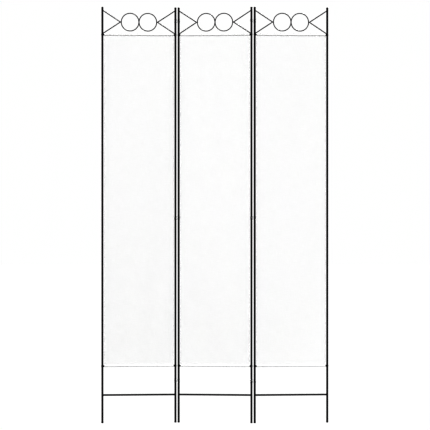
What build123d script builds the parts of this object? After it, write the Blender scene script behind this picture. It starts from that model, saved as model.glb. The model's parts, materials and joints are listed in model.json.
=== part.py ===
from build123d import *
import math
import os

# Folding room divider: three fabric panels in wire and tube frames, joined by
# two lines of twin clips. Millimetres, +Z up, floor at Z = 0, X along the
# screen. The panels stand in a shallow zigzag, because a flat one would fall.

# ---- driving dimensions ----
SCREEN_HEIGHT = 2200.0
PANEL_PITCH = 387.5  # between the two post axes of one panel
HINGE_PITCH = 17.2  # between the axes of two neighbouring panels' posts
REST_FOLD_DEG = 6.0  # how far each panel stands turned from the flat line

# posts: two tubes each, the upper one spigoted into the lower one
POST_OD = 9.5
POST_WALL = 0.8
POST_JOINT_Z = 1099.0
SPIGOT_OD = 7.7
SPIGOT_LENGTH = 40.0
SWAGE_LENGTH = 3.5
JOINT_GROOVE = 0.8

# caps and feet: a round head and a ribbed plug pushed into the tube
CAP_HEAD_D = 10.2
CAP_HEAD_HEIGHT = 6.0
CAP_DOME_R = 2.6
FOOT_HEAD_D = 10.4
FOOT_HEAD_HEIGHT = 8.0
FOOT_EDGE_R = 1.5
PLUG_D = 7.2
PLUG_RIB_D = 7.86
PLUG_LENGTH = 12.0
PLUG_RIBS = 3
PLUG_RIB_HEIGHT = 1.2
PLUG_TIP = 1.0  # chamfer of the plug's end

# crest: two rings side by side, held by a bent V wire on each side
CREST_Z = 2121.0
RING_R = 46.7  # to the middle of the wire
RING_WIRE_D = 4.0
RING_CENTRE_X = 47.1
V_WIRE_D = 4.4
V_ANGLE_DEG = 33.2
V_CORNER_SETBACK = 2.45  # from a ring's side to where its V's two axes meet

# cross bar near the floor
BAR_OD = 8.0
BAR_WALL = 0.8
BAR_Z = 148.2

# fabric rods and their sockets
ROD_OD = 7.0
ROD_WALL = 0.8
TOP_ROD_Z = 2054.2
BOTTOM_ROD_Z = 301.1
SOCKET_WALL = 0.7
SOCKET_FIT = 0.05
SOCKET_HEIGHT = 9.2
SOCKET_BOSS = 3.5  # how far the boss stands off the post
PEG_D = 5.2
PEG_LENGTH = 14.0
PEG_CHAMFER = 0.65
PIP_D = 2.6
PIP_REACH = 0.6  # how far the pip reaches inside the post's wall
PIP_HOLE_D = 3.0

# fabric
FABRIC_WIDTH = 369.0
FABRIC_THICKNESS = 0.6
POCKET_FIT = 0.05

# twin clips of the hinge lines
CLIP_FIT = 0.08
CLIP_WALL = 1.5
CLIP_HEIGHT = 20.0
CLIP_WEB = 2.6
CLIP_EDGE = 0.3
CLIP_ROOT_R = 0.8
CLIP_Z = {"top": 2128.0, "middle": 1084.0, "bottom": 221.0}

SNAP_OPENING = 0.68  # opening of a snap-on collar, as a share of its bore

# ---- worked out from them ----
POST_R = POST_OD / 2
POST_X = PANEL_PITCH / 2
TUBE_BOTTOM_Z = FOOT_HEAD_HEIGHT
TUBE_TOP_Z = SCREEN_HEIGHT - CAP_HEAD_HEIGHT
FOLD = math.radians(REST_FOLD_DEG)
PANEL_STEP = PANEL_PITCH * math.cos(FOLD) + HINGE_PITCH
ROD_HALF = POST_X - POST_R - SOCKET_BOSS
RING_SIDE_X = RING_CENTRE_X + RING_R + RING_WIRE_D / 2
V_CORNER_X = RING_SIDE_X + V_CORNER_SETBACK
CUTTER_DEPTH = 2 * POST_OD  # through the panel, for the boxes that trim its wires

UP = (Align.CENTER, Align.CENTER, Align.MIN)
SIDES = {"left": -1, "right": 1}
PANELS = {"left": -1, "centre": 0, "right": 1}


# ---- helpers ----
def revolved(profile):
    """A solid turned about Z from a closed list of (radius, height) points."""
    points = [(r, 0, z) for r, z in profile]
    outline = Polyline(*points, close=True)
    return revolve(make_face(outline), Axis.Z)


def along_x(solid):
    """Turns a solid that stands along +Z so that it points along +X."""
    return Rot(0, 90, 0) * solid


def post_envelope(x):
    """The space that a post takes up, for coping what is welded to it."""
    return Pos(x, 0, 0) * Cylinder(POST_R, SCREEN_HEIGHT, align=UP)


def snap_collar_outline(bore_r, wall):
    """A C-shaped outline about the origin, open towards +Y, with round lips."""
    lip_r = wall / 2
    middle_r = bore_r + lip_r
    gap_deg = math.degrees(math.asin((SNAP_OPENING * bore_r + lip_r) / middle_r))
    first, last, sweep_deg = 90 + gap_deg, 90 - gap_deg, 360 - 2 * gap_deg
    lip = Vector(middle_r, 0)
    outer = CenterArc((0, 0), bore_r + wall, first, sweep_deg)
    inner = CenterArc((0, 0), bore_r, first, sweep_deg)
    one_lip = CenterArc(lip.rotate(Axis.Z, first), lip_r, first, -180)
    other_lip = CenterArc(lip.rotate(Axis.Z, last), lip_r, last, 180)
    return make_face([outer, other_lip, inner, one_lip])


def snap_collar(bore_r, wall, height):
    outline = snap_collar_outline(bore_r, wall)
    return Pos(0, 0, -height / 2) * extrude(outline, height)


# ---- one panel, in its own frame: X along the panel, Y through it ----
def upper_post():
    inner_r = POST_R - POST_WALL
    spigot_r = SPIGOT_OD / 2
    spigot_inner_r = spigot_r - POST_WALL
    groove_r = POST_R - JOINT_GROOVE / 2
    spigot_z = POST_JOINT_Z - SPIGOT_LENGTH
    return revolved(
        [
            (POST_R, TUBE_TOP_Z),
            (POST_R, POST_JOINT_Z + JOINT_GROOVE),
            (groove_r, POST_JOINT_Z),
            (spigot_r, POST_JOINT_Z),
            (spigot_r, spigot_z),
            (spigot_inner_r, spigot_z),
            (spigot_inner_r, POST_JOINT_Z + JOINT_GROOVE),
            (inner_r, POST_JOINT_Z + SWAGE_LENGTH),
            (inner_r, TUBE_TOP_Z),
        ]
    )


def lower_post():
    inner_r = POST_R - POST_WALL
    return revolved(
        [
            (POST_R, TUBE_BOTTOM_Z),
            (POST_R, POST_JOINT_Z - JOINT_GROOVE / 2),
            (POST_R - JOINT_GROOVE / 2, POST_JOINT_Z),
            (inner_r, POST_JOINT_Z),
            (inner_r, TUBE_BOTTOM_Z),
        ]
    )


def drilled(post, side, z):
    """A post of one side with the hole that a socket's pip sits in."""
    drill = Cylinder(PIP_HOLE_D / 2, POST_OD, align=UP)
    hole = Pos(0, 0, z) * Rot(0, -90 * side, 0) * drill
    return Pos(side * POST_X, 0, 0) * (post - hole)


def plug(z, way):
    """Profile points of a ribbed plug from a head's face at z, up or down."""
    points = []
    pitch = PLUG_LENGTH / (PLUG_RIBS + 1)
    for n in range(1, PLUG_RIBS + 1):
        low = z + way * (n * pitch - PLUG_RIB_HEIGHT / 2)
        high = z + way * (n * pitch + PLUG_RIB_HEIGHT / 2)
        points += [(PLUG_D / 2, low), (PLUG_RIB_D / 2, low)]
        points += [(PLUG_RIB_D / 2, high), (PLUG_D / 2, high)]
    end = z + way * PLUG_LENGTH
    points += [(PLUG_D / 2, end - way * PLUG_TIP), (PLUG_D / 2 - PLUG_TIP, end), (0, end)]
    return [(PLUG_D / 2, z)] + points


def post_cap():
    r = CAP_HEAD_D / 2
    head = Pos(0, 0, TUBE_TOP_Z) * Cylinder(r, CAP_HEAD_HEIGHT, align=UP)
    head = fillet(head.edges().sort_by(Axis.Z)[-1], CAP_DOME_R)
    return head + revolved(plug(TUBE_TOP_Z, -1) + [(0, TUBE_TOP_Z)])


def foot():
    r = FOOT_HEAD_D / 2
    head = Cylinder(r, FOOT_HEAD_HEIGHT, align=UP)
    head = fillet(head.edges().sort_by(Axis.Z)[0], FOOT_EDGE_R)
    return head + revolved(plug(TUBE_BOTTOM_Z, 1) + [(0, TUBE_BOTTOM_Z)])


def on_both_posts(solid):
    return [Pos(s * POST_X, 0, 0) * solid for s in SIDES.values()]


def ring(side):
    """One ring, ground flat where it meets the other in the panel's middle."""
    whole = Rot(90, 0, 0) * Torus(RING_R, RING_WIRE_D / 2)
    whole = Pos(side * RING_CENTRE_X, 0, CREST_Z) * whole
    beyond = Pos(-side * RING_R, 0, CREST_Z) * Box(2 * RING_R, CUTTER_DEPTH, 4 * RING_R)
    return whole - beyond


def v_wire(side):
    """Two legs mitred at the ring and saddle-cut at the post."""
    run = POST_X - V_CORNER_X
    length = run / math.cos(math.radians(V_ANGLE_DEG))
    tip = V_WIRE_D / math.sin(math.radians(V_ANGLE_DEG))
    leg = Cylinder(V_WIRE_D / 2, length + tip, align=UP)
    leg = Pos(-tip, 0, 0) * along_x(leg)
    half = Box(4 * PANEL_PITCH, CUTTER_DEPTH, PANEL_PITCH, align=UP)
    rising = (Rot(0, -V_ANGLE_DEG, 0) * leg) & half
    corner = Pos(V_CORNER_X, 0, CREST_Z)
    wire = corner * (rising + mirror(rising, Plane.XY))
    inside = Pos(RING_SIDE_X - RING_R, 0, CREST_Z)
    wire = wire - post_envelope(POST_X)
    wire = wire - inside * Box(2 * RING_R, CUTTER_DEPTH, 2 * RING_R)
    return wire if side > 0 else mirror(wire, Plane.YZ)


def bottom_bar():
    length = PANEL_PITCH
    bar = Cylinder(BAR_OD / 2, length) - Cylinder(BAR_OD / 2 - BAR_WALL, length)
    bar = Pos(0, 0, BAR_Z) * along_x(bar)
    return bar - post_envelope(POST_X) - post_envelope(-POST_X)


def rod(z):
    length = 2 * ROD_HALF
    tube = Cylinder(ROD_OD / 2, length) - Cylinder(ROD_OD / 2 - ROD_WALL, length)
    return Pos(0, 0, z) * along_x(tube)


def rod_socket(side, z):
    """A snap-on collar with a boss, a peg inside the rod and a locating pip."""
    bore_r = POST_R + SOCKET_FIT
    face_x = POST_R + SOCKET_BOSS
    collar = snap_collar(bore_r, SOCKET_WALL, SOCKET_HEIGHT)
    boss = Cylinder(SOCKET_HEIGHT / 2, face_x - POST_R / 2, align=UP)
    boss = Pos(POST_R / 2, 0, 0) * along_x(boss)
    boss = boss - Cylinder(bore_r, 2 * SOCKET_HEIGHT)
    peg = Cylinder(PEG_D / 2, PEG_LENGTH + SOCKET_BOSS / 2, align=UP)
    peg = chamfer(peg.edges().sort_by(Axis.Z)[-1], PEG_CHAMFER)
    peg = Pos(face_x - SOCKET_BOSS / 2, 0, 0) * along_x(peg)
    pip_x = POST_R - POST_WALL - PIP_REACH
    pip = Cylinder(PIP_D / 2, face_x - pip_x - SOCKET_BOSS / 2, align=UP)
    pip = Pos(pip_x, 0, 0) * along_x(pip)
    socket = collar + boss + peg + pip
    socket = Pos(-POST_X, 0, z) * socket
    return socket if side < 0 else mirror(socket, Plane.YZ)


def fabric():
    """Plain sheet with a sleeve at each end, through which a rod runs."""
    inner_r = ROD_OD / 2 + POCKET_FIT
    outer_r = inner_r + FABRIC_THICKNESS
    drop = TOP_ROD_Z - BOTTOM_ROD_Z
    middle_z = (TOP_ROD_Z + BOTTOM_ROD_Z) / 2
    cloth = Pos(0, 0, middle_z) * Box(FABRIC_WIDTH, FABRIC_THICKNESS, drop)
    for z in (TOP_ROD_Z, BOTTOM_ROD_Z):
        sleeve = Cylinder(outer_r, FABRIC_WIDTH)
        cloth += Pos(0, 0, z) * along_x(sleeve)
    for z in (TOP_ROD_Z, BOTTOM_ROD_Z):
        cloth -= Pos(0, 0, z) * along_x(Cylinder(inner_r, PANEL_PITCH))
    return cloth


def panel_parts():
    """Every piece of one panel, by name: a solid, or a list of alike solids."""
    parts = {}
    for name, side in SIDES.items():
        parts[f"upper_post_{name}"] = drilled(upper_post(), side, TOP_ROD_Z)
        parts[f"lower_post_{name}"] = drilled(lower_post(), side, BOTTOM_ROD_Z)
        parts[f"v_wire_{name}"] = v_wire(side)
        parts[f"ring_{name}"] = ring(side)
    parts["post_caps"] = on_both_posts(post_cap())
    parts["feet"] = on_both_posts(foot())
    parts["bottom_bar"] = bottom_bar()
    parts["top_rod"] = rod(TOP_ROD_Z)
    parts["bottom_rod"] = rod(BOTTOM_ROD_Z)
    parts["top_rod_sockets"] = [rod_socket(s, TOP_ROD_Z) for s in SIDES.values()]
    parts["bottom_rod_sockets"] = [rod_socket(s, BOTTOM_ROD_Z) for s in SIDES.values()]
    parts["fabric"] = fabric()
    return parts


# ---- hinge lines ----
def twin_clip():
    """Two snap-on collars on a common web, both open towards +Y."""
    collar = snap_collar_outline(POST_R + CLIP_FIT, CLIP_WALL)
    half = HINGE_PITCH / 2
    web = Rectangle(HINGE_PITCH - 2 * POST_R - CLIP_WALL, CLIP_WEB)
    outline = Pos(-half, 0) * collar + web + Pos(half, 0) * collar
    clip = Pos(0, 0, -CLIP_HEIGHT / 2) * extrude(outline, CLIP_HEIGHT)
    corners = [v for v in clip.edges().filter_by(Axis.Z) if abs(v.center().X) < half - POST_R]
    clip = fillet(corners, CLIP_ROOT_R)
    flat_faces = clip.faces().filter_by(Axis.Z)
    return chamfer(flat_faces.edges(), CLIP_EDGE)


def hinge_clips(side):
    """The three clips of one hinge line, open away from the way it folds."""
    x = side * PANEL_STEP / 2
    y = -side * PANEL_PITCH / 2 * math.sin(FOLD)
    turn = 0 if side < 0 else 180
    clip = twin_clip()
    return {
        place: Pos(x, y, z) * Rot(0, 0, turn) * clip for place, z in CLIP_Z.items()
    }


# ---- the whole screen ----
def panel_location(number):
    """The centre panel turns one way and the two outer ones the other way."""
    turn = REST_FOLD_DEG if number else -REST_FOLD_DEG
    return Pos(number * PANEL_STEP, 0, 0) * Rot(0, 0, turn)


def screen():
    nodes = {}
    one_panel = panel_parts()
    for panel, number in PANELS.items():
        place = panel_location(number)
        for name, solids in one_panel.items():
            solids = solids if isinstance(solids, list) else [solids]
            nodes[f"{panel}_{name}"] = [place * s for s in solids]
    for side_name, side in SIDES.items():
        for place_name, clip in hinge_clips(side).items():
            nodes[f"{side_name}_hinge_clip_{place_name}"] = [clip]
    return nodes


os.makedirs("parts", exist_ok=True)
for node, solids in screen().items():
    shape = solids[0] if len(solids) == 1 else Compound(children=solids)
    export_step(shape, f"parts/{node}.step")
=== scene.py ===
import json
import math
import random

import bmesh
import bpy
import numpy as np
from mathutils import Matrix, Vector, noise


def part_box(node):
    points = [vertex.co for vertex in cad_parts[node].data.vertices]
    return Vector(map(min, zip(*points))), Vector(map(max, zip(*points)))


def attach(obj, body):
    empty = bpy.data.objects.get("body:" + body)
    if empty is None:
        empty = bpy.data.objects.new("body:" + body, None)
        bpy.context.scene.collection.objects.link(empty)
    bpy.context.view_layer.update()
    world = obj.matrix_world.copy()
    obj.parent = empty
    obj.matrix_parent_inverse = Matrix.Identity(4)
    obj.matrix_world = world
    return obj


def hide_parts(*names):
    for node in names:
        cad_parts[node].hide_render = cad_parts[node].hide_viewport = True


# Looks of the folding room divider screen, in metres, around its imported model.
# A panel's own frame: X along the panel, Y to its back, Z up, origin on the
# floor midway between its posts.

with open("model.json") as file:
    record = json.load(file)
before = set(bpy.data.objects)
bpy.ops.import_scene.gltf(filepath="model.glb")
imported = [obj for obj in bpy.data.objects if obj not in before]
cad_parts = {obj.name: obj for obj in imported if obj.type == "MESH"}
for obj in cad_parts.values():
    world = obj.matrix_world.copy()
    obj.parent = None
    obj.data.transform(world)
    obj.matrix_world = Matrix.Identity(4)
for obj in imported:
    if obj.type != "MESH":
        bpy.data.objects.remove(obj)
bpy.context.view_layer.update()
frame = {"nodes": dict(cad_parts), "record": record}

PANELS = ("left", "centre", "right")
SIDES = {"left": -1, "right": 1}
MM = 0.001

# ---- fabric ----
CLOTH_HALF = 0.225 * MM  # half the cloth's thickness
POCKET_R = 4.2 * MM  # from the rod's axis to the middle of the cloth
TOP_SEAM = 5.8 * MM  # from the rod's axis to where the pocket closes
BOTTOM_SEAM = 7.5 * MM
TAIL = 5.0 * MM  # turned-in cloth beyond where the pocket closes
SEAM_IN_TAIL = 0.3  # where the row of stitches runs, as a share of the tail
RIPPLE_IN_TAIL = 0.6  # where the cloth starts to ripple
TAIL_GAP = 0.5 * MM  # from the sheet's middle to the tail's middle
TAIL_GAP_AT_HEM = 1.4 * MM
HEM = 9.0 * MM
HEM_RAMP = 3.0 * MM
CELL = 10.0 * MM  # of the cloth's grid
POCKET_STEPS = 44
POCKET_ARC_STEPS = 60
SMOOTHING = 0.6 * MM
PATH_STEP = 0.1 * MM
THREAD_PITCH = 0.7 * MM  # of the weave

# ---- cloth simulation ----
GATHER = 0.0005  # how much narrower the cloth stands on its rods than it is cut
FRAMES = 30
FIRST_WAVE = 2.2 * MM
MOST_RIPPLE = 3.5 * MM
SOFTENING = 3  # passes that take out creases finer than the grid shows truly

# ---- stitches ----
STITCH = 3.2 * MM
STITCH_GAP = 0.8 * MM
THREAD_R = 0.2 * MM
THREAD_SIDES = 5
HEM_STITCH_IN = 6.5 * MM
ROW_END_IN = 1.5 * MM
# along a stitch: share of its length, height over the cloth and thickness in thread radii
STITCH_SHAPE = ((0.0, -0.6, 0.55), (0.12, 0.45, 1.0), (0.5, 0.85, 1.0), (0.88, 0.45, 1.0), (1.0, -0.6, 0.55))

# ---- crest wires and welds ----
V_WIRE_R = 2.2 * MM
V_RISE = math.radians(33.2)
BEAD_R = 0.75 * MM
BEAD_LUMP = 0.22
BEAD_LUMPS = 5
BEAD_STEPS = 28
BEAD_SIDES = 8
LUMP_UNEVEN = 0.18
CORNER_WELD = (1.0 * MM, 1.3 * MM, 1.5 * MM)  # where a ring touches a V wire
CORNER_WELD_UP = 2.4 * MM
RING_WELD = (1.3 * MM, 1.6 * MM, 2.6 * MM)  # where two rings part
RING_WELD_UP = 11.0 * MM

# ---- camera and light ----
CAMERA_DISTANCE = 12.65
CAMERA_HEIGHT = 1.1
LENS = 200
GAMMA = 0.5  # a hard, contrasty print
WHITE = 1.0  # of the backdrop as it is seen
AMBIENT = 0.34  # of the backdrop as it lights the object
FLOOR_GLOW = 1.05
FLOOR_GLOW_SHARE = 0.93
FLOOR_GREY = (0.42, 0.42, 0.42, 1)
FLOOR_REACH = 40


# ================= shader helpers =================
def new_material(name):
    material = bpy.data.materials.new(name)
    material.use_nodes = True
    nodes = material.node_tree.nodes
    return material, nodes, material.node_tree.links, nodes["Principled BSDF"]


def node(nodes, kind, settings=(), **values):
    made = nodes.new(kind)
    for key, value in dict(settings).items():
        setattr(made, key, value)
    for key, value in values.items():
        made.inputs[key.replace("_", " ")].default_value = value
    return made


def noise_texture(nodes, links, coordinates, scale, detail=3.0, roughness=0.5, stretch=None):
    """A noise texture on object coordinates, scale in features per metre."""
    texture = node(nodes, "ShaderNodeTexNoise", Scale=scale, Detail=detail, Roughness=roughness)
    if stretch:
        mapping = node(nodes, "ShaderNodeMapping", Scale=stretch)
        links.new(coordinates, mapping.inputs["Vector"])
        coordinates = mapping.outputs["Vector"]
    links.new(coordinates, texture.inputs["Vector"])
    return texture.outputs["Fac"]


def ramp(nodes, links, value, low, high, first, last):
    """Maps value from low..high onto first..last."""
    made = node(nodes, "ShaderNodeMapRange")
    made.inputs["From Min"].default_value = low
    made.inputs["From Max"].default_value = high
    made.inputs["To Min"].default_value = first
    made.inputs["To Max"].default_value = last
    links.new(value, made.inputs["Value"])
    return made.outputs["Result"]


def maths(nodes, links, operation, a, b=None):
    made = node(nodes, "ShaderNodeMath", {"operation": operation})
    for n, value in enumerate((a, b)):
        if value is None:
            continue
        if isinstance(value, (int, float)):
            made.inputs[n].default_value = value
        else:
            links.new(value, made.inputs[n])
    return made.outputs["Value"]


def mix_colours(nodes, links, factor, a, b):
    made = node(nodes, "ShaderNodeMix", {"data_type": "RGBA"})
    links.new(factor, made.inputs["Factor"])
    for socket, value in ((made.inputs["A"], a), (made.inputs["B"], b)):
        if isinstance(value, tuple):
            socket.default_value = (*value, 1)
        else:
            links.new(value, socket)
    return made.outputs["Result"]


def bump(nodes, links, height, distance, strength, before=None):
    made = node(nodes, "ShaderNodeBump", Distance=distance, Strength=strength)
    links.new(height, made.inputs["Height"])
    if before:
        links.new(before, made.inputs["Normal"])
    return made.outputs["Normal"]


def object_coordinates(nodes):
    return nodes.new("ShaderNodeTexCoord").outputs["Object"]


# ================= materials =================
def powder_coat(name, peel=1.0):
    """Satin black powder coat: fine orange peel, uneven gloss, a little dust."""
    material, nodes, links, shader = new_material(name)
    place = object_coordinates(nodes)
    patches = noise_texture(nodes, links, place, scale=14, detail=4)
    grain = noise_texture(nodes, links, place, scale=900, detail=2)
    speckle = noise_texture(nodes, links, place, scale=2600, detail=1)
    colour = mix_colours(nodes, links, patches, (0.012, 0.012, 0.0125), (0.018, 0.018, 0.0185))
    dust = ramp(nodes, links, speckle, 0.66, 0.8, 0.0, 0.25)
    colour = mix_colours(nodes, links, dust, colour, (0.04, 0.04, 0.042))
    links.new(colour, shader.inputs["Base Color"])
    links.new(ramp(nodes, links, patches, 0.3, 0.7, 0.34, 0.46), shader.inputs["Roughness"])
    shader.inputs["Specular IOR Level"].default_value = 0.35
    normal = bump(nodes, links, grain, 0.05 * MM, 0.22 * peel)
    normal = bump(nodes, links, speckle, 0.02 * MM, 0.18 * peel, normal)
    links.new(normal, shader.inputs["Normal"])
    return material


def black_plastic(name):
    """Matte moulded plastic with a fine spark-eroded grain, scuffed pale near the floor."""
    material, nodes, links, shader = new_material(name)
    place = object_coordinates(nodes)
    grain = noise_texture(nodes, links, place, scale=3200, detail=2)
    flow = noise_texture(nodes, links, place, scale=120)
    scratches = noise_texture(nodes, links, place, scale=700, detail=4, roughness=0.7, stretch=(1, 1, 0.2))
    scratches = ramp(nodes, links, scratches, 0.5, 0.62, 0.0, 0.6)
    height = nodes.new("ShaderNodeSeparateXYZ")
    links.new(place, height.inputs["Vector"])
    near_floor = ramp(nodes, links, height.outputs["Z"], 0.0, 0.006, 1.0, 0.0)
    scuffs = maths(nodes, links, "MULTIPLY", scratches, near_floor)
    colour = mix_colours(nodes, links, flow, (0.012, 0.012, 0.012), (0.018, 0.018, 0.018))
    colour = mix_colours(nodes, links, scuffs, colour, (0.09, 0.088, 0.085))
    links.new(colour, shader.inputs["Base Color"])
    links.new(ramp(nodes, links, flow, 0.3, 0.7, 0.5, 0.62), shader.inputs["Roughness"])
    shader.inputs["Specular IOR Level"].default_value = 0.35
    links.new(bump(nodes, links, grain, 0.03 * MM, 0.4), shader.inputs["Normal"])
    return material


def clear_plastic(name):
    """Clear moulded plastic with flow lines and a soft haze, too thin to hide what is behind it."""
    material, nodes, links, shader = new_material(name)
    place = object_coordinates(nodes)
    flow = noise_texture(nodes, links, place, scale=260, stretch=(1, 1, 0.25))
    haze = noise_texture(nodes, links, place, scale=1500, detail=2)
    colour = mix_colours(nodes, links, flow, (0.93, 0.94, 0.945), (0.98, 0.985, 0.985))
    links.new(colour, shader.inputs["Base Color"])
    links.new(ramp(nodes, links, haze, 0.3, 0.7, 0.04, 0.12), shader.inputs["Roughness"])
    shader.inputs["IOR"].default_value = 1.5
    shader.inputs["Transmission Weight"].default_value = 1.0
    shader.inputs["Alpha"].default_value = 0.28
    links.new(bump(nodes, links, flow, 0.08 * MM, 0.25), shader.inputs["Normal"])
    return material


def weave_height(nodes, links, place):
    """Warp and weft threads, from -1 to 1."""
    wave = 2 * math.pi / THREAD_PITCH
    split = nodes.new("ShaderNodeSeparateXYZ")
    links.new(place, split.inputs["Vector"])
    across = maths(nodes, links, "MULTIPLY", split.outputs["X"], wave)
    up = maths(nodes, links, "MULTIPLY", split.outputs["Z"], wave)
    warp = maths(nodes, links, "SINE", across)
    weft = maths(nodes, links, "SINE", up)
    return maths(nodes, links, "MULTIPLY", warp, weft)


def woven_white(name):
    """Plain-weave white polyester: thread relief, painted shade that follows the weave's relief, slubs and a
    faint shine.
    """
    material, nodes, links, shader = new_material(name)
    place = object_coordinates(nodes)
    weave = weave_height(nodes, links, place)
    slub_up = noise_texture(nodes, links, place, scale=60, roughness=0.6, stretch=(9, 1, 0.4))
    slub_across = noise_texture(nodes, links, place, scale=60, roughness=0.6, stretch=(0.4, 1, 9))
    slubs = maths(nodes, links, "MULTIPLY", slub_up, slub_across)
    cloud = noise_texture(nodes, links, place, scale=3)
    thick = ramp(nodes, links, slubs, 0.1, 0.45, 0, 1)
    # painted shade: the cloth's colour darkens with the weave's thread relief, standing in for shade between
    # the threads
    painted_weave_shade = ramp(nodes, links, weave, -1, 1, 0.0, 0.25)
    drift = ramp(nodes, links, cloud, 0.3, 0.7, 0.0, 0.3)
    colour = mix_colours(nodes, links, thick, (0.88, 0.88, 0.875), (0.93, 0.93, 0.93))
    colour = mix_colours(nodes, links, painted_weave_shade, colour, (0.84, 0.84, 0.84))
    colour = mix_colours(nodes, links, drift, colour, (0.89, 0.89, 0.9))
    links.new(colour, shader.inputs["Base Color"])
    links.new(ramp(nodes, links, slubs, 0.1, 0.45, 0.82, 0.7), shader.inputs["Roughness"])
    shader.inputs["Specular IOR Level"].default_value = 0.3
    shader.inputs["Sheen Weight"].default_value = 0.15
    shader.inputs["Sheen Roughness"].default_value = 0.4
    normal = bump(nodes, links, weave, 0.05 * MM, 0.25)
    normal = bump(nodes, links, slubs, 0.12 * MM, 0.5, normal)
    links.new(normal, shader.inputs["Normal"])
    return material


def sewing_thread(name):
    """White polyester thread: a tight twist and a soft shine."""
    material, nodes, links, shader = new_material(name)
    place = object_coordinates(nodes)
    twist = noise_texture(nodes, links, place, scale=2500, detail=2, roughness=0.6, stretch=(1, 1, 1.8))
    colour = mix_colours(nodes, links, twist, (0.86, 0.86, 0.855), (0.94, 0.94, 0.94))
    links.new(colour, shader.inputs["Base Color"])
    links.new(ramp(nodes, links, twist, 0.3, 0.7, 0.5, 0.65), shader.inputs["Roughness"])
    shader.inputs["Sheen Weight"].default_value = 0.2
    links.new(bump(nodes, links, twist, 0.04 * MM, 0.5), shader.inputs["Normal"])
    return material


def finish_cad_nodes(materials):
    """Gives every CAD node the material of its slot."""
    for part in frame["record"]["subparts"]:
        owner = frame["nodes"][part["node"]]
        for held in owner.material_slots:
            held.material = materials[part["material_slot"]]


# ================= mesh helpers =================
def mesh_object(name, points, faces, material, place=None):
    mesh = bpy.data.meshes.new(name)
    mesh.from_pydata([tuple(p) for p in points], [], faces)
    mesh.validate()
    mesh.polygons.foreach_set("use_smooth", [True] * len(mesh.polygons))
    mesh.materials.append(material)
    made = bpy.data.objects.new(name, mesh)
    made.matrix_world = place or Matrix.Identity(4)
    bpy.context.scene.collection.objects.link(made)
    return made


def split_end_caps(obj):
    """Cuts faces of more than four corners into triangles."""
    work = bmesh.new()
    work.from_mesh(obj.data)
    bmesh.ops.triangulate(work, faces=[f for f in work.faces if len(f.verts) > 4])
    work.to_mesh(obj.data)
    work.free()


def turn_faces_out(obj):
    work = bmesh.new()
    work.from_mesh(obj.data)
    bmesh.ops.recalc_face_normals(work, faces=work.faces)
    work.to_mesh(obj.data)
    work.free()


def between_rings(count, sides, strips):
    """Faces of the first strips between count rings of points, the last of which leads to the first."""
    faces = []
    for i in range(strips):
        a, b = i * sides, (i + 1) % count * sides
        for j in range(sides):
            k = (j + 1) % sides
            faces.append((a + j, a + k, b + k, b + j))
    return faces


def closed_tube(rings):
    """Rings of points joined in a loop."""
    count = len(rings)
    return [p for ring in rings for p in ring], between_rings(count, len(rings[0]), count)


def capped_tube_faces(count, sides):
    """Faces of a tube of count rings, with a face over each end."""
    last = (count - 1) * sides
    caps = [tuple(range(sides))[::-1], tuple(range(last, last + sides))]
    return between_rings(count, sides, count - 1) + caps


def ring_round(centre, out, side, r, sides):
    """Points on a circle about centre, in the plane of the directions out and side."""
    angles = [2 * math.pi * n / sides for n in range(sides)]
    return [centre + (out * math.cos(a) + side * math.sin(a)) * r for a in angles]


def joined(pieces):
    """Several (points, faces) as one."""
    points, faces = [], []
    for some_points, some_faces in pieces:
        start = len(points)
        points += some_points
        faces += [tuple(start + n for n in face) for face in some_faces]
    return points, faces


# ================= where a panel is =================
def middle(cad_node):
    low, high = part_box(cad_node)
    return (low + high) / 2


def panel_frame(panel):
    """The panel's own frame, and half the distance between its post axes."""
    left = middle(f"{panel}_lower_post_left")
    right = middle(f"{panel}_lower_post_right")
    along = Vector((right.x - left.x, right.y - left.y, 0))
    back = Vector((-along.y, along.x, 0)).normalized()
    origin = Vector(((left.x + right.x) / 2, (left.y + right.y) / 2, 0))
    rotation = Matrix((along.normalized(), back, Vector((0, 0, 1)))).transposed()
    return Matrix.Translation(origin) @ rotation.to_4x4(), along.length / 2


def cloth_width(panel, place):
    """The width of the CAD fabric along its own panel, from its box."""
    low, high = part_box(f"{panel}_fabric")
    tilt = abs(place.col[0].x)
    pocket = (high.z - middle(f"{panel}_top_rod").z) * abs(place.col[0].y)
    return (high.x - low.x - 2 * pocket) / tilt


# ================= the cloth =================
def lengths_along(path):
    """The distance along the path to each of its points."""
    return np.concatenate(([0], np.cumsum(np.hypot(*np.diff(path, axis=0).T))))


def evenly_spaced(path, steps):
    """The path as steps + 1 points at even distances along it."""
    along = lengths_along(path)
    even = np.linspace(0, along[-1], steps + 1)
    return np.stack([np.interp(even, along, path[:, n]) for n in (0, 1)], 1)


def rounded_path(corners, steps):
    """The line through the corners, with its corners rounded over, as steps + 1 even points."""
    corners = np.array(corners)
    fine = int(lengths_along(corners)[-1] / PATH_STEP)
    line = evenly_spaced(corners, fine)
    reach = int(SMOOTHING / PATH_STEP)
    kernel = np.ones(2 * reach + 1) / (2 * reach + 1)
    for _ in range(2):
        before = 2 * line[0] - line[reach:0:-1]
        beyond = 2 * line[-1] - line[-2 : -reach - 2 : -1]
        padded = np.concatenate((before, line, beyond))
        line = np.stack([np.convolve(padded[:, n], kernel, "valid") for n in (0, 1)], 1)
    return evenly_spaced(line, steps)


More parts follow.
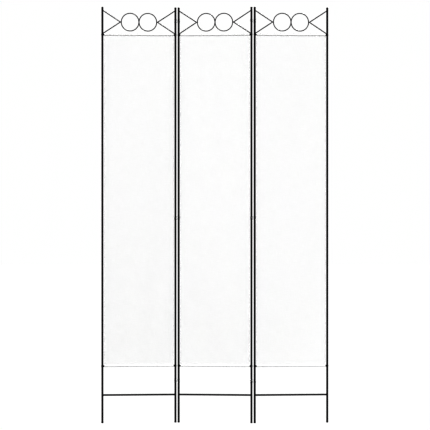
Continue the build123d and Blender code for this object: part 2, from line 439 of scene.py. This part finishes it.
def pocket_path(rod_z, seam, gap):
    """(y, z) of the cloth from the tail's end, round the rod and on to the flat sheet.

    The sign of seam says on which side of the rod it is: below it is negative.
    """
    down = 1 if seam < 0 else -1
    reach = abs(seam)
    lean = math.asin(POCKET_R / reach)
    closed_z, end_z = -down * reach, -down * (reach + TAIL)
    angles = np.linspace(-lean, math.pi + lean, POCKET_ARC_STEPS)
    arc = [(POCKET_R * math.cos(a), down * POCKET_R * math.sin(a)) for a in angles]
    corners = [(gap, end_z), (gap, closed_z)] + arc + [(0, closed_z), (0, end_z)]
    path = rounded_path(corners, 4 * POCKET_STEPS)
    in_front = (path[:, 0] < gap / 2) & (np.arange(len(path)) > len(path) // 2)
    past_seam = down * path[:, 1] <= -(reach + TAIL * RIPPLE_IN_TAIL)
    last = np.argmax(in_front & past_seam)
    return evenly_spaced(path[: last + 1], POCKET_STEPS) + (0, rod_z)


def cloth_path(top_z, bottom_z, rows, gap):
    """(y, z) of the cloth from its tail behind the top seam to its tail above the bottom seam."""
    top = pocket_path(top_z, -TOP_SEAM, gap)
    bottom = pocket_path(bottom_z, BOTTOM_SEAM, gap)[::-1]
    flat_z = np.linspace(top[-1, 1], bottom[0, 1], rows + 1)[1:-1]
    flat = np.stack((np.zeros(len(flat_z)), flat_z), 1)
    return np.concatenate((top, flat, bottom))


def normals_of(path):
    """The direction from the sheet's front to its back, at each point of the path."""
    step = np.gradient(path, axis=0)
    step /= np.hypot(*step.T)[:, None]
    return np.stack((-step[:, 1], step[:, 0]), 1)


def cloth_section(width, columns):
    """The sheet's section across its width, with a hem on each side: a loop of (x, offset to the back)."""
    h = CLOTH_HALF
    edge = width / 2 - 2 * h
    inner = edge - HEM
    across = list(np.linspace(-inner, inner, columns + 1))
    hem_x = [inner + HEM * n / 3 for n in (1, 2)]
    front = [(-edge, -h)] + [(-x, -h) for x in hem_x[::-1]] + [(x, -h) for x in across]
    front += [(x, -h) for x in hem_x] + [(edge, -h)]
    angles = np.linspace(0, math.pi, 6)[1:-1]
    turn = [(edge + 2 * h * math.sin(a), h - 2 * h * math.cos(a)) for a in angles]
    right = [(edge, 3 * h)] + [(x, 3 * h) for x in hem_x[::-1]]
    right += [(inner + h, 3 * h), (inner, 2.6 * h), (inner - 0.3 * h, h)]
    back = [(x, h) for x in across[-2:0:-1]]
    left = [(-x, o) for x, o in right[::-1]]
    turned_left = [(-x, o) for x, o in turn[::-1]]
    return front + turn + right + back + left + turned_left


def hemness(x, width):
    """0 on the plain sheet, 1 on its side hems."""
    past = (np.abs(x) - (width / 2 - HEM - HEM_RAMP)) / HEM_RAMP
    return np.clip(past, 0, 1)


def ripple_at(ripple, width, top, bottom, x, z):
    """The sheet's distance from the flat at (x, z), from the simulated grid."""
    rows, columns = ripple.shape[0] - 1, ripple.shape[1] - 1
    u = np.clip((np.asarray(x) / width + 0.5) * columns, 0, columns - 1e-6)
    v = np.clip((top - np.asarray(z)) / (top - bottom) * rows, 0, rows - 1e-6)
    i, j = v.astype(int), u.astype(int)
    fv, fu = v - i, u - j
    a = ripple[i, j] * (1 - fu) + ripple[i, j + 1] * fu
    b = ripple[i + 1, j] * (1 - fu) + ripple[i + 1, j + 1] * fu
    return a * (1 - fv) + b * fv


def first_shape(x, z, width, height, seed):
    """Faint upright flutes and a soft drift, from which the simulation starts."""
    high = noise.noise(Vector((x * 14, z * 1.1, seed * 7.3)))
    wide = noise.noise(Vector((x * 5, z * 0.7, seed * 3.1 + 50)))
    fade = min(1, 12 * z / height, 12 * (1 - z / height))
    return FIRST_WAVE * (1.6 * high + wide) * max(0, fade)


def softened(field):
    """Each sheet's distances, averaged with their neighbours across and along. The held rows stay."""
    for _ in range(SOFTENING):
        wide = np.pad(field, ((0, 0), (0, 0), (1, 1)), mode="edge")
        field = (wide[..., :-2] + 2 * field + wide[..., 2:]) / 4
        field[:, 1:-1] = (field[:, :-2] + 2 * field[:, 1:-1] + field[:, 2:]) / 4
    return field


def grid_of_sheets(width, height, columns, rows):
    """The three sheets' grids: their points as they start and as they are cut, and their faces.

    The sheets stand a metre apart in Y, so that they never meet.
    """
    points, cut, faces = [], [], []
    for number in range(len(PANELS)):
        start = len(points)
        for i in range(rows + 1):
            for j in range(columns + 1):
                x, z = (j / columns - 0.5) * width, height * (1 - i / rows)
                y = first_shape(x, z, width, height, number + 1)
                points.append((x * (1 - GATHER), number + y, z))
                cut.append((x, number, z))
        for i in range(rows):
            for j in range(columns):
                a = start + i * (columns + 1) + j
                faces.append((a, a + columns + 1, a + columns + 2, a + 1))
    return points, cut, faces


def hold_on_rods(sheet, columns, rows):
    held = sheet.vertex_groups.new(name="rods")
    for n in range(len(sheet.data.vertices)):
        row = n % ((rows + 1) * (columns + 1)) // (columns + 1)
        if row in (0, rows):
            held.add([n], 1, "REPLACE")


def remember_cut(sheet, cut):
    """Keeps the shape that the cloth was cut to, which it pulls back to."""
    sheet.shape_key_add(name="Basis")
    key = sheet.shape_key_add(name="cut")
    key.value = 0
    for n, p in enumerate(cut):
        key.data[n].co = p
    return key


def add_cloth(sheet, key):
    cloth = sheet.modifiers.new("cloth", "CLOTH")
    settings = cloth.settings
    settings.vertex_group_mass = "rods"
    settings.rest_shape_key = key
    settings.quality = 6
    settings.mass = 0.00002
    settings.tension_stiffness = 20
    settings.compression_stiffness = 20
    settings.shear_stiffness = 8
    settings.bending_stiffness = 3
    settings.air_damping = 4
    cloth.collision_settings.use_collision = False
    cloth.collision_settings.use_self_collision = False
    cloth.point_cache.frame_end = FRAMES


def simulate_ripples(width, height, columns, rows):
    """Hangs three sheets between their rods, a little gathered. Gives each one's distances from the flat."""
    points, cut, faces = grid_of_sheets(width, height, columns, rows)
    mesh = bpy.data.meshes.new("simulated")
    mesh.from_pydata(points, [], faces)
    sheet = bpy.data.objects.new("simulated", mesh)
    bpy.context.scene.collection.objects.link(sheet)
    bpy.context.view_layer.objects.active = sheet
    hold_on_rods(sheet, columns, rows)
    add_cloth(sheet, remember_cut(sheet, cut))
    for number in range(1, FRAMES + 1):
        bpy.context.scene.frame_set(number)
    made = sheet.evaluated_get(bpy.context.evaluated_depsgraph_get()).to_mesh()
    co = np.zeros(len(points) * 3)
    made.vertices.foreach_get("co", co)
    bpy.context.scene.frame_set(1)
    bpy.data.objects.remove(sheet)
    y = co.reshape(len(PANELS), rows + 1, columns + 1, 3)[..., 1]
    away = y - np.arange(len(PANELS))[:, None, None]
    return MOST_RIPPLE * np.tanh(softened(away) / MOST_RIPPLE)


class Sheet:
    """One panel's cloth: its size, its rods and its ripples."""

    def __init__(self, panel):
        self.panel = panel
        self.place, _ = panel_frame(panel)
        self.width = cloth_width(panel, self.place)
        self.top_rod = middle(f"{panel}_top_rod").z
        self.bottom_rod = middle(f"{panel}_bottom_rod").z
        self.top = self.top_rod - TOP_SEAM - RIPPLE_IN_TAIL * TAIL
        self.bottom = self.bottom_rod + BOTTOM_SEAM + RIPPLE_IN_TAIL * TAIL
        self.columns = round((self.width - 2 * HEM) / CELL)
        self.rows = round((self.top - self.bottom) / CELL)

    def off_flat(self, x, z):
        return ripple_at(self.ripple, self.width, self.top, self.bottom, x, z)

    def path(self, gap):
        return cloth_path(self.top_rod, self.bottom_rod, self.rows, gap)


def cloth_piece(sheet, material):
    """The sheet as a solid of the cloth's thickness, and the length that it was cut to."""
    section = np.array(cloth_section(sheet.width, sheet.columns))
    x, offset = section.T
    hem = hemness(x, sheet.width)[None, :, None]
    plain, thick = sheet.path(TAIL_GAP), sheet.path(TAIL_GAP_AT_HEM)
    middles = plain[:, None] * (1 - hem) + thick[:, None] * hem
    normals = normals_of(plain)[:, None] * (1 - hem) + normals_of(thick)[:, None] * hem
    y = middles[..., 0] + normals[..., 0] * offset
    z = middles[..., 1] + normals[..., 1] * offset
    flat = slice(POCKET_STEPS, len(plain) - POCKET_STEPS)
    y[flat] += sheet.off_flat(np.broadcast_to(x, y[flat].shape), middles[flat][..., 1])
    points = np.stack((np.broadcast_to(x, y.shape), y, z), -1).reshape(-1, 3)
    faces = capped_tube_faces(len(plain), len(section))
    made = mesh_object(f"{sheet.panel}_fabric_sheet", points, faces, material, sheet.place)
    split_end_caps(made)
    turn_faces_out(made)
    return made, float(lengths_along(plain)[-1])


def stitch(start, end, away):
    """One stitch from start to end, a low arch standing off the cloth along away."""
    run = end - start
    across = run.cross(away).normalized()
    points = []
    for share, lift, fat in STITCH_SHAPE:
        centre = start + run * share + away * (THREAD_R * lift)
        points += ring_round(centre, across, away, THREAD_R * fat, THREAD_SIDES)
    return points, capped_tube_faces(len(STITCH_SHAPE), THREAD_SIDES)


def stitch_row(sheet, start, end, lift, away):
    """Stitches from start to end, both (x, z), lift behind the sheet's middle, or in front if negative."""
    start, end = Vector(start), Vector(end)
    pitch = STITCH + STITCH_GAP
    count = int((end - start).length / pitch)
    way = (end - start).normalized()
    made = []
    for n in range(count):
        ends = []
        for along in (n * pitch, n * pitch + STITCH):
            x, z = start + way * (along + STITCH_GAP)
            y = float(sheet.off_flat(x, z)) + lift
            ends.append(Vector((x, y, z)))
        made.append(stitch(ends[0], ends[1], away))
    return made


def stitching_piece(sheet, material):
    """Every row of stitches on one panel's cloth."""
    front, back = Vector((0, -1, 0)), Vector((0, 1, 0))
    edge = sheet.width / 2
    reach = edge - ROW_END_IN
    inner = edge - HEM - HEM_RAMP
    behind_tail = TAIL_GAP + CLOTH_HALF
    behind_hem = TAIL_GAP_AT_HEM + CLOTH_HALF
    top_seam_z = sheet.top_rod - TOP_SEAM - SEAM_IN_TAIL * TAIL
    bottom_seam_z = sheet.bottom_rod + BOTTOM_SEAM + SEAM_IN_TAIL * TAIL
    rows = []
    for z in (top_seam_z, bottom_seam_z):
        rows += stitch_row(sheet, (-reach, z), (reach, z), -CLOTH_HALF, front)
        rows += stitch_row(sheet, (-inner, z), (inner, z), behind_tail, back)
        for side in (-1, 1):
            rows += stitch_row(sheet, (side * (edge - HEM), z), (side * reach, z), behind_hem, back)
    for side in (-1, 1):
        x = side * (edge - HEM_STITCH_IN)
        top, bottom = sheet.top - TAIL, sheet.bottom + TAIL
        rows += stitch_row(sheet, (x, top), (x, bottom), -CLOTH_HALF, front)
        rows += stitch_row(sheet, (x, top), (x, bottom), 3 * CLOTH_HALF, back)
    points, faces = joined(rows)
    made = mesh_object(f"{sheet.panel}_fabric_stitching", points, faces, material, sheet.place)
    turn_faces_out(made)
    return made


def dress_panels(fabric, thread):
    sheets = [Sheet(panel) for panel in PANELS]
    first = sheets[0]
    height = first.top - first.bottom
    hang = simulate_ripples
    ripples = hang(first.width, height, first.columns, first.rows)
    for sheet, ripple in zip(sheets, ripples):
        sheet.ripple = ripple
        piece, length = cloth_piece(sheet, fabric)
        stitching = stitching_piece(sheet, thread)
        body = f"{sheet.panel}_panel"
        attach(piece, body)
        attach(stitching, body)
        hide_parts(f"{sheet.panel}_fabric")


# ================= welds =================
def bead(loop, draw):
    """A lumpy closed bead of weld along a loop of points."""
    count = len(loop)
    centre = sum(loop, Vector()) / count
    rings = []
    phase = draw.uniform(0, 2 * math.pi)
    for i, p in enumerate(loop):
        forward = (loop[(i + 1) % count] - loop[i - 1]).normalized()
        outwards = (p - centre).normalized()
        side = forward.cross(outwards).normalized()
        swell = math.sin(2 * math.pi * BEAD_LUMPS * i / count + phase) + draw.uniform(-0.5, 0.5)
        rings.append(ring_round(p, outwards, side, BEAD_R * (1 + BEAD_LUMP * swell), BEAD_SIDES))
    return closed_tube(rings)


def where_bar_meets_post(start, way, radius, post_x, post_r):
    """The loop where a round bar of that radius, from start along way, meets an upright post's surface."""
    sideways = Vector((0, 1, 0))
    upright = way.cross(sideways).normalized()
    loop = []
    for p in ring_round(start, sideways, upright, radius, BEAD_STEPS):
        depth = math.sqrt(post_r**2 - p.y**2)
        target = post_x - math.copysign(depth, post_x)
        loop.append(p + way * ((target - p.x) / way.x))
    return loop


def lump(centre, size, draw):
    """A small uneven blob of weld metal."""
    work = bmesh.new()
    bmesh.ops.create_icosphere(work, subdivisions=3, radius=1)
    seed = Vector((draw.uniform(0, 100), 0, 0))
    points = []
    for v in work.verts:
        swell = 1 + LUMP_UNEVEN * noise.noise(v.co * 1.7 + seed)
        points.append(Vector(centre) + Vector([a * b for a, b in zip(v.co, size)]) * swell)
    faces = [tuple(v.index for v in f.verts) for f in work.faces]
    work.free()
    return points, faces


def v_corner(panel, place, side):
    """Where a V wire's two legs come together beside its ring, in the panel's frame."""
    low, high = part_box(f"{panel}_v_wire_{side}")
    nearest = min(abs(low.x - place.translation.x), abs(high.x - place.translation.x))
    return Vector((SIDES[side] * nearest / abs(place.col[0].x), 0, (low.z + high.z) / 2))


def weld_piece(panel, material):
    """All the weld metal of one panel's frame."""
    place, post_x = panel_frame(panel)
    draw = random.Random(f"welds of {panel}")
    low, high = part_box(f"{panel}_lower_post_left")
    post_r = (high.x - low.x) / 2
    low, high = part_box(f"{panel}_bottom_bar")
    bar_r, bar_z = (high.z - low.z) / 2, (high.z + low.z) / 2
    made = []
    for side, sign in SIDES.items():
        outwards = Vector((sign, 0, 0))
        loop = where_bar_meets_post(Vector((0, 0, bar_z)), outwards, bar_r, sign * post_x, post_r)
        made.append(bead(loop, draw))
        corner = v_corner(panel, place, side)
        for up in (-1, 1):
            way = Vector((sign * math.cos(V_RISE), 0, up * math.sin(V_RISE)))
            start = corner + outwards * V_WIRE_R
            loop = where_bar_meets_post(start, way, V_WIRE_R, sign * post_x, post_r)
            made.append(bead(loop, draw))
        for up in (-1, 1):
            made.append(lump(corner + Vector((0, 0, up * CORNER_WELD_UP)), CORNER_WELD, draw))
    for up in (-1, 1):
        made.append(lump((0, 0, corner.z + up * RING_WELD_UP), RING_WELD, draw))
    points, faces = joined(made)
    piece = mesh_object(f"{panel}_weld_beads", points, faces, material, place)
    turn_faces_out(piece)
    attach(piece, f"{panel}_panel")


# ================= stage, light, camera =================
def seen_directly(nodes, links):
    """1 for what the camera sees, itself or through clear plastic, and 0 for light on the object."""
    path = nodes.new("ShaderNodeLightPath")
    return maths(nodes, links, "MAXIMUM", path.outputs["Is Camera Ray"], path.outputs["Is Transmission Ray"])


def floor():
    """A plain pale floor. It looks white, and throws back less light, as a wide studio's does."""
    material, nodes, links, shader = new_material("pale_floor")
    nodes.remove(shader)
    plain = node(nodes, "ShaderNodeBsdfDiffuse", Color=FLOOR_GREY)
    glow = node(nodes, "ShaderNodeEmission", Color=(1, 1, 1, 1), Strength=FLOOR_GLOW)
    share = maths(nodes, links, "MULTIPLY", seen_directly(nodes, links), FLOOR_GLOW_SHARE)
    both = nodes.new("ShaderNodeMixShader")
    links.new(share, both.inputs["Fac"])
    links.new(plain.outputs["BSDF"], both.inputs[1])
    links.new(glow.outputs["Emission"], both.inputs[2])
    links.new(both.outputs["Shader"], nodes["Material Output"].inputs["Surface"])
    corners = [(x * FLOOR_REACH, y * FLOOR_REACH, 0) for x, y in ((-1, -1), (1, -1), (1, 1), (-1, 1))]
    mesh_object("floor", corners, [(0, 1, 2, 3)], material)


def sun(name, azimuth, elevation, strength, softness):
    """A distant soft light; azimuth 0 comes from the front, elevation is above the horizon."""
    light = bpy.data.lights.new(name, "SUN")
    light.energy = strength
    light.angle = math.radians(softness)
    made = bpy.data.objects.new(name, light)
    a, e = math.radians(azimuth), math.radians(elevation)
    source = Vector((math.sin(a) * math.cos(e), -math.cos(a) * math.cos(e), math.sin(e)))
    made.rotation_euler = (-source).to_track_quat("-Z", "Y").to_euler()
    bpy.context.scene.collection.objects.link(made)


def white_world():
    """White behind the object, and a dimmer even light on it."""
    world = bpy.data.worlds.new("studio")
    bpy.context.scene.world = world
    world.use_nodes = True
    nodes, links = world.node_tree.nodes, world.node_tree.links
    nodes["Background"].inputs["Color"].default_value = (1, 1, 1, 1)
    strength = ramp(nodes, links, seen_directly(nodes, links), 0, 1, AMBIENT, WHITE)
    links.new(strength, nodes["Background"].inputs["Strength"])


def camera():
    data = bpy.data.cameras.new("camera")
    data.lens = LENS
    data.sensor_width = 36
    made = bpy.data.objects.new("camera", data)
    made.location = (0, -CAMERA_DISTANCE, CAMERA_HEIGHT)
    made.rotation_euler = (math.pi / 2, 0, 0)
    bpy.context.scene.collection.objects.link(made)
    bpy.context.scene.camera = made


# ================= put together =================
steel = powder_coat("black_powder_coat")
materials = {
    "frame_steel": steel,
    "rod_steel": powder_coat("black_rod_coat", peel=0.6),
    "black_plastic": black_plastic("matte_black_plastic"),
    "clear_plastic": clear_plastic("clear_moulded_plastic"),
    "white_fabric": woven_white("white_woven_polyester"),
}
finish_cad_nodes(materials)
dress_panels(materials["white_fabric"], sewing_thread("white_sewing_thread"))
for panel in PANELS:
    weld_piece(panel, steel)

floor()
white_world()
sun("key_light", azimuth=-2, elevation=45, strength=2.80, softness=10)
sun("back_light", azimuth=155, elevation=42, strength=2.76, softness=14)
camera()
bpy.context.scene.view_settings.view_transform = "Standard"
bpy.context.scene.view_settings.gamma = GAMMA
